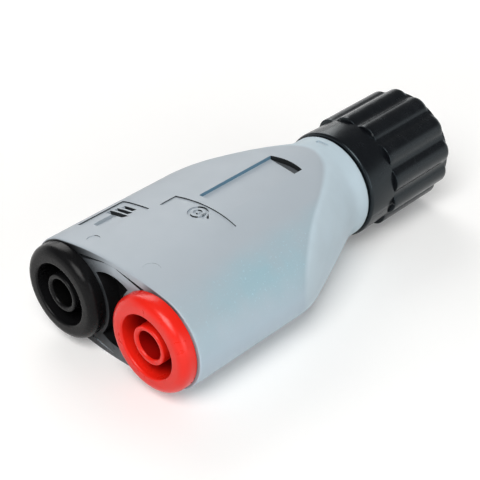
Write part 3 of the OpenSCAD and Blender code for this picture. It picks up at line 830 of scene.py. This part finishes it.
RING_START = 50.1
FLUTE_START = 56.0
CREST_RADIUS = 9.9
VALLEY_RADIUS = 9.15
LOBE_RADIUS = 2.56
VALLEY_CUT = 1.5
FLUTES = 12
FIRST_CREST = math.radians(10)
COLLAR_RADIUS = 9.2
COLLAR_FRONT = 9.34
REAR_ROUND = 0.8

# The ring's bore: a wide step over the washers, the seat of the bayonet sleeve, and the mouth
WASHER_BORE = 7.4
WASHER_STEP = 52.9
SLEEVE_BORE = 6.48
SLEEVE_END = 69.43
MOUTH_BORE = 5.9


def flute_tree():
    """Node tree that pulls the blank's grip in to the wave of rounded crests and hollow valleys."""
    tree = bpy.data.node_groups.new("Flutes", "GeometryNodeTree")
    tree.is_modifier = True
    face = tree.interface
    face.new_socket("Geometry", in_out="INPUT", socket_type="NodeSocketGeometry")
    for label in ("Flutes", "First Crest", "Crest Radius", "Valley Radius", "Lobe Radius", "Valley Cut",
                  "Collar Radius", "Axis Height"):
        face.new_socket(label, in_out="INPUT", socket_type="NodeSocketFloat")
    face.new_socket("Finish", in_out="INPUT", socket_type="NodeSocketMaterial")
    face.new_socket("Geometry", in_out="OUTPUT", socket_type="NodeSocketGeometry")
    nodes = Nodes(tree)
    math_of, product = nodes.math, nodes.product
    given = nodes.add("NodeGroupInput").outputs

    def stored(label):
        """A number that each point of the blank carries."""
        kind = {"data_type": "FLOAT"}
        return nodes.add("GeometryNodeInputNamedAttribute", kind, Name=label).outputs["Attribute"]

    point = nodes.add("GeometryNodeInputPosition").outputs[0]
    x, y, z = nodes.add("ShaderNodeSeparateXYZ", Vector=point).outputs
    up = math_of("SUBTRACT", z, given["Axis Height"])
    radius = nodes.distance(x, up)
    turn = math_of("ARCTAN2", up, x)
    half = math_of("DIVIDE", math.pi, given["Flutes"])
    past_crest = math_of("SUBTRACT", turn, given["First Crest"])
    from_crest = math_of("ABSOLUTE", math_of("WRAP", past_crest, half, product(half, -1.0)))
    from_valley = math_of("SUBTRACT", half, from_crest)

    def on_circle(angle, distance, circle, way):
        """How far out a line at an angle meets a circle whose centre is a distance from the axis."""
        side = product(distance, math_of("SINE", angle))
        room = math_of("MAXIMUM", math_of("SUBTRACT", product(circle, circle), product(side, side)), 0.0)
        middle = product(distance, math_of("COSINE", angle))
        return math_of("ADD", middle, product(math_of("SQRT", room), way))

    lobe_centre = math_of("SUBTRACT", given["Crest Radius"], given["Lobe Radius"])
    cut_centre = math_of("ADD", given["Valley Radius"], given["Valley Cut"])
    crest = on_circle(from_crest, lobe_centre, given["Lobe Radius"], 1.0)
    valley = on_circle(from_valley, cut_centre, given["Valley Cut"], -1.0)
    share = math_of("DIVIDE", given["Lobe Radius"], math_of("ADD", given["Lobe Radius"], given["Valley Cut"]))
    reach_up = product(share, product(cut_centre, math_of("SINE", half)))
    step_out = math_of("SUBTRACT", product(cut_centre, math_of("COSINE", half)), lobe_centre)
    reach_out = math_of("ADD", lobe_centre, product(share, step_out))
    past = math_of("GREATER_THAN", from_crest, math_of("ARCTAN2", reach_up, reach_out))
    wave = math_of("ADD", crest, product(past, math_of("SUBTRACT", valley, crest)))
    wanted = math_of("MAXIMUM", math_of("SUBTRACT", wave, stored("drop")), given["Collar Radius"])
    change = product(stored("fluted"), math_of("SUBTRACT", wanted, radius))
    scale = math_of("DIVIDE", math_of("ADD", radius, change), radius)
    height = math_of("ADD", product(up, scale), given["Axis Height"])
    place = nodes.add("ShaderNodeCombineXYZ", X=product(x, scale), Y=y, Z=height).outputs[0]
    moved = nodes.add("GeometryNodeSetPosition", Geometry=given["Geometry"], Position=place).outputs[0]
    real = nodes.add("GeometryNodeRealizeInstances", Geometry=moved).outputs[0]
    painted = nodes.add("GeometryNodeSetMaterial", Geometry=real, Material=given["Finish"]).outputs[0]
    nodes.join(nodes.add("NodeGroupOutput").inputs[0], painted)
    return tree


def apply_tree(piece, tree, **values):
    """Runs a node tree on a piece with its inputs set by socket, and keeps the plain mesh."""
    step = piece.modifiers.new("tree", "NODES")
    step.node_group = tree
    for item in tree.interface.items_tree:
        key = item.name.lower().replace(" ", "_")
        if item.item_type == "SOCKET" and item.in_out == "INPUT" and key in values:
            step[item.identifier] = values[key]
    settle(piece)


def build_ring():
    """Collar, fluted grip and stepped bore, turned as a blank and then fluted by the node tree."""
    collar = soft_corners([
        (SLEEVE_BORE, WASHER_STEP, 0.0), (WASHER_BORE, WASHER_STEP, 0.0), (WASHER_BORE, RING_START, 0.12),
        (COLLAR_FRONT, RING_START, 0.5), (COLLAR_RADIUS, FLUTE_START - 0.02, 0.0),
    ], 4)
    step_up = [(0.0, 0.9), (0.0, 0.12), (0.02, 0.05), (0.06, 0.013), (0.13, 0.0)]
    grip = [(FLUTE_START + past, drop) for past, drop in step_up]
    grip += [(s, 0.0) for s in np.linspace(57.0, 69.0, 7)]
    for turn in np.linspace(0, math.pi / 2, 8):
        along = FULL_LENGTH - REAR_ROUND + REAR_ROUND * math.sin(turn)
        grip.append((along, REAR_ROUND * (1 - math.cos(turn))))
    mouth = [
        (7.6, FULL_LENGTH), (6.25, FULL_LENGTH), (5.97, 70.3), (MOUTH_BORE, 70.05),
        (MOUTH_BORE, SLEEVE_END), (SLEEVE_BORE, SLEEVE_END),
    ]
    # One row each of (radius, along, whether it is fluted, how far it lies under the wave)
    rows = [(radius, s, 0.0, 0.0) for radius, s in collar]
    rows += [(CREST_RADIUS - drop, s, 1.0, drop) for s, drop in grip]
    rows += [(radius, s, 0.0, 0.0) for radius, s in mouth]
    rows = np.array(rows, float)
    steps = FLUTES * 26
    turn = np.arange(steps) * 2 * math.pi / steps + FIRST_CREST
    radius, along, fluted, drop = rows.T[:, :, None]
    places = np.stack([radius * np.cos(turn), along + 0 * turn, radius * np.sin(turn)], -1)
    mesh = bpy.data.meshes.new("Coupling")
    mesh.from_pydata([tuple(p) for p in to_frame(places.reshape(-1, 3))], [], band_faces(len(rows), steps))
    for label, values in (("fluted", fluted), ("drop", drop * MM)):
        layer = mesh.attributes.new(label, "FLOAT", "POINT")
        layer.data.foreach_set("value", np.repeat(values, steps).astype(np.float32))
    ring = bpy.data.objects.new("Coupling", mesh)
    bpy.context.scene.collection.objects.link(ring)
    apply_tree(
        ring, flute_tree(), flutes=float(FLUTES), first_crest=FIRST_CREST, crest_radius=CREST_RADIUS * MM,
        valley_radius=VALLEY_RADIUS * MM, lobe_radius=LOBE_RADIUS * MM, valley_cut=VALLEY_CUT * MM,
        collar_radius=(COLLAR_RADIUS - 0.03) * MM, axis_height=AXIS_HEIGHT * MM, finish=ring_black,
    )
    tidy(ring.data, 35)
    return ring


# Inner pieces that need more than a finish

STEM_START = 44.0
STEM_RADIUS = 4.8
STEM_FLAT = 4.2
THREAD_PITCH = 1.0
THREAD_DEPTH = 0.3
INSULATOR_BORE = 2.38
STEM_BORE = 3.25
STEM_STEP = 46.6
STOP_NEAR = 49.82


def build_plug_body():
    """Plug body with a rolled thread and one flat on its stem."""
    columns = 120
    angle = np.arange(columns) * 2 * math.pi / columns
    rows = []

    def row(radius, station):
        """One ring of points."""
        radius = np.broadcast_to(radius, angle.shape)
        rows.append(np.stack([radius * np.cos(angle), np.full(columns, station), radius * np.sin(angle)], -1))

    def threaded(station, fade):
        """Radius of the threaded stem at each point of a ring, cut off by the flat."""
        phase = (station / THREAD_PITCH - angle / (2 * math.pi)) % 1.0
        radius = STEM_RADIUS - THREAD_DEPTH * fade * (1 - np.abs(2 * phase - 1))
        flat = STEM_FLAT / np.maximum(np.cos(angle), 0.01)
        return np.where(np.cos(angle) > 0, np.minimum(radius, flat), radius)

    row(INSULATOR_BORE, STEM_STEP)
    row(STEM_BORE, STEM_STEP)
    row(STEM_BORE, STEM_START)
    row(4.3, STEM_START)
    for station in np.linspace(STEM_START + 0.15, 49.7, 46):
        fade = min(1.0, (station - STEM_START) / 0.5, max(0.0, (49.6 - station) / 0.4))
        row(threaded(station, fade), station)
    row(4.6, STOP_NEAR)
    # The stop flange, the journal with the clip's groove in it, and the front boss
    for radius, station in soft_corners([
        (6.6, STOP_NEAR, 0.15), (6.6, 52.4, 0.25), (4.4, 52.4, 0.1), (4.4, 56.58, 0.0), (4.0, 56.58, 0.0),
        (4.0, 57.22, 0.0), (4.4, 57.22, 0.0), (4.4, 57.6, 0.15), (3.45, 57.6, 0.0), (3.45, 60.0, 0.1),
        (INSULATOR_BORE, 60.0, 0.1), (INSULATOR_BORE, STEM_STEP, 0.0),
    ], 3)[:-1]:
        row(radius, station)
    return solid("Plug_body", np.concatenate(rows), band_faces(len(rows), columns), nickel, 34)


# The pieces

housing = build_housing_marks(build_housing())
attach(housing, "adapter_body")
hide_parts("housing_shell")

carrier = build_carrier()
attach(carrier, "adapter_body")
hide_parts("socket_carrier")

black_socket = build_socket("Black_socket", -1, socket_black, bore_black)
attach(black_socket, "adapter_body")
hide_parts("black_socket")

red_socket = build_socket("Red_socket", 1, socket_red, bore_red)
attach(red_socket, "adapter_body")
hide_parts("red_socket")

ring = build_ring()
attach(ring, "coupling")
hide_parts("coupling_ring")

plug_body = build_plug_body()
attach(plug_body, "adapter_body")
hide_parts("plug_body")

# The finish of each remaining piece, and the record's slot that it stands for
FINISHES = {
    "black_contact": (gold, "gold_brass"), "red_contact": (gold, "gold_brass"),
    "socket_ring_nuts": (nut_black, "black_nylon"),
    "signal_lead": (lead_red, "red_lead"), "signal_lead_core": (copper, "copper"),
    "ground_lead": (lead_black, "black_lead"), "ground_lead_core": (copper, "copper"),
    "red_solder_sleeve": (lead_red, "red_lead"), "black_solder_sleeve": (lead_black, "black_lead"),
    "pin_solder_sleeve": (lead_black, "black_lead"), "ground_lug": (tin, "tinned_metal"),
    "lock_nut": (nickel, "nickel"), "plug_insulator": (insulator_white, "white_insulator"),
    "centre_pin": (gold, "gold_brass"), "outer_contact": (nickel, "nickel"),
    "plug_gasket": (gasket_red, "gasket_rubber"), "retaining_clip": (spring_grey, "spring_steel"),
    "spring_washer": (spring_grey, "spring_steel"), "thrust_washer": (nickel, "nickel"),
    "bayonet_sleeve": (nickel, "nickel"),
}
for node, (finish, slot) in FINISHES.items():
    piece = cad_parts[node]
    piece.data.materials.clear()
    piece.data.materials.append(finish)


# Floor, light and camera

# Where the housing's rim and the ring's rear crests touch the floor: (along the frame, up), in metres
RIM_REST = (-0.0321, 0.00088)
RING_REST = (0.0208, 0.0001)
FLOOR_REACH = 3.0
FLOOR_WHITE = (0.86, 0.85, 0.84, 1)
WHITE = (1, 1, 1, 1)

# The floor's glow rises with the distance from the adapter, so that far off it stays white
GLOW = {"From Min": 0.02, "From Max": 0.6, "To Min": 0.16, "To Max": 1.0}
# The studio's walls fade from white at the floor's edge to this dim level higher up
WALL_FADE = {"From Min": 0.15, "From Max": 0.45, "To Min": 1.0, "To Max": 0.15}
STUDIO_LIGHT = 0.1

LAMP_DISTANCE = 0.5
LAMP_SIZE = 0.3
LAMP_AIM = (0, 0, 0.01)
# Each lamp's turn and height in degrees, its power in watts and its colour
LAMPS = {
    "Front": (-60, 51, 2.2, (0.99, 0.99, 0.98)),
    "Side": (0, 14, 0.6, (0.92, 0.99, 1.03)),
    "Back": (90, 12, 0.35, (0.95, 1.0, 1.04)),
    "Key": (152, 34, 0.95, (1.0, 0.99, 0.98)),
}

CAMERA_LENS = 98.46
CAMERA_PLACE = (0.121778, -0.127901, 0.122354)
# The camera's turns about x, y and z in degrees, starting from looking straight down
CAMERA_TURN = (56.731, 1.71, 43.936)


def light_path_share(nodes):
    """1 for rays that show the background, 0 for those that only light things."""
    path = nodes.add("ShaderNodeLightPath").outputs
    seen = nodes.math("MAXIMUM", path["Is Camera Ray"], path["Is Glossy Ray"])
    return nodes.math("MAXIMUM", seen, path["Is Transmission Ray"])


def build_floor():
    """White floor under the adapter, which rests on the ring's rear crests and the housing's rim."""
    material = bpy.data.materials.new("floor_white")
    material.use_nodes = True
    nodes = Nodes(material.node_tree)
    nodes.tree.nodes.clear()
    place = nodes.add("ShaderNodeTexCoord").outputs["Object"]
    distance = nodes.add("ShaderNodeVectorMath", {"operation": "LENGTH"}, Vector=place).outputs["Value"]
    level = nodes.add("ShaderNodeMapRange", Value=distance, **GLOW).outputs["Result"]
    strength = nodes.product(light_path_share(nodes), level)
    glow = nodes.add("ShaderNodeEmission", Color=WHITE, Strength=strength)
    matte = nodes.add("ShaderNodeBsdfDiffuse", Color=FLOOR_WHITE)
    both = nodes.add("ShaderNodeAddShader")
    nodes.join(both.inputs[0], matte.outputs[0])
    nodes.join(both.inputs[1], glow.outputs[0])
    nodes.add("ShaderNodeOutputMaterial", Surface=both.outputs[0])

    mesh = bpy.data.meshes.new("Floor")
    slope = (RING_REST[1] - RIM_REST[1]) / (RING_REST[0] - RIM_REST[0])
    corners = []
    for x, y in ((-1, -1), (1, -1), (1, 1), (-1, 1)):
        x, y = x * FLOOR_REACH, y * FLOOR_REACH
        corners.append((x, y, RIM_REST[1] + (y - RIM_REST[0]) * slope))
    mesh.from_pydata(corners, [], [(0, 1, 2, 3)])
    mesh.materials.append(material)
    floor = bpy.data.objects.new("Floor", mesh)
    bpy.context.scene.collection.objects.link(floor)


def build_world():
    """Dim studio whose walls show white up to a little above the floor's far edge."""
    world = bpy.data.worlds.new("Studio")
    bpy.context.scene.world = world
    world.use_nodes = True
    nodes = Nodes(world.node_tree)
    nodes.tree.nodes.clear()
    place = nodes.add("ShaderNodeTexCoord").outputs["Generated"]
    up = nodes.add("ShaderNodeSeparateXYZ", Vector=place).outputs["Z"]
    fade = nodes.add("ShaderNodeMapRange", {"interpolation_type": "SMOOTHSTEP"}, Value=up, **WALL_FADE)
    level = nodes.add("ShaderNodeMix")
    for index, value in ((0, light_path_share(nodes)), (2, STUDIO_LIGHT), (3, fade.outputs["Result"])):
        nodes.join(level.inputs[index], value)
    studio = nodes.add("ShaderNodeBackground", Color=WHITE, Strength=level.outputs[0])
    nodes.add("ShaderNodeOutputWorld", Surface=studio.outputs[0])


def area_lamp(name, turn, height, power, colour):
    """A soft square lamp that looks at the adapter from one direction."""
    data = bpy.data.lights.new(name, "AREA")
    data.shape = "SQUARE"
    data.size = LAMP_SIZE
    data.energy = power
    data.color = colour
    lamp = bpy.data.objects.new(name, data)
    turn, height = math.radians(turn), math.radians(height)
    way = Vector((math.cos(turn) * math.cos(height), math.sin(turn) * math.cos(height), math.sin(height)))
    lamp.location = Vector(LAMP_AIM) + way * LAMP_DISTANCE
    lamp.rotation_euler = (-way).to_track_quat("-Z", "Y").to_euler()
    bpy.context.scene.collection.objects.link(lamp)


def build_camera():
    """The camera at the photograph's viewing angle."""
    data = bpy.data.cameras.new("Camera")
    data.lens = CAMERA_LENS
    data.sensor_width = 36.0
    data.clip_start = 0.01
    data.clip_end = 20.0
    camera = bpy.data.objects.new("Camera", data)
    turn = Euler([math.radians(angle) for angle in CAMERA_TURN])
    camera.matrix_world = Matrix.Translation(CAMERA_PLACE) @ turn.to_matrix().to_4x4()
    bpy.context.scene.collection.objects.link(camera)
    bpy.context.scene.camera = camera


build_floor()
build_world()
for name, settings in LAMPS.items():
    area_lamp(name, *settings)
build_camera()
bpy.context.scene.view_settings.view_transform = "Standard"
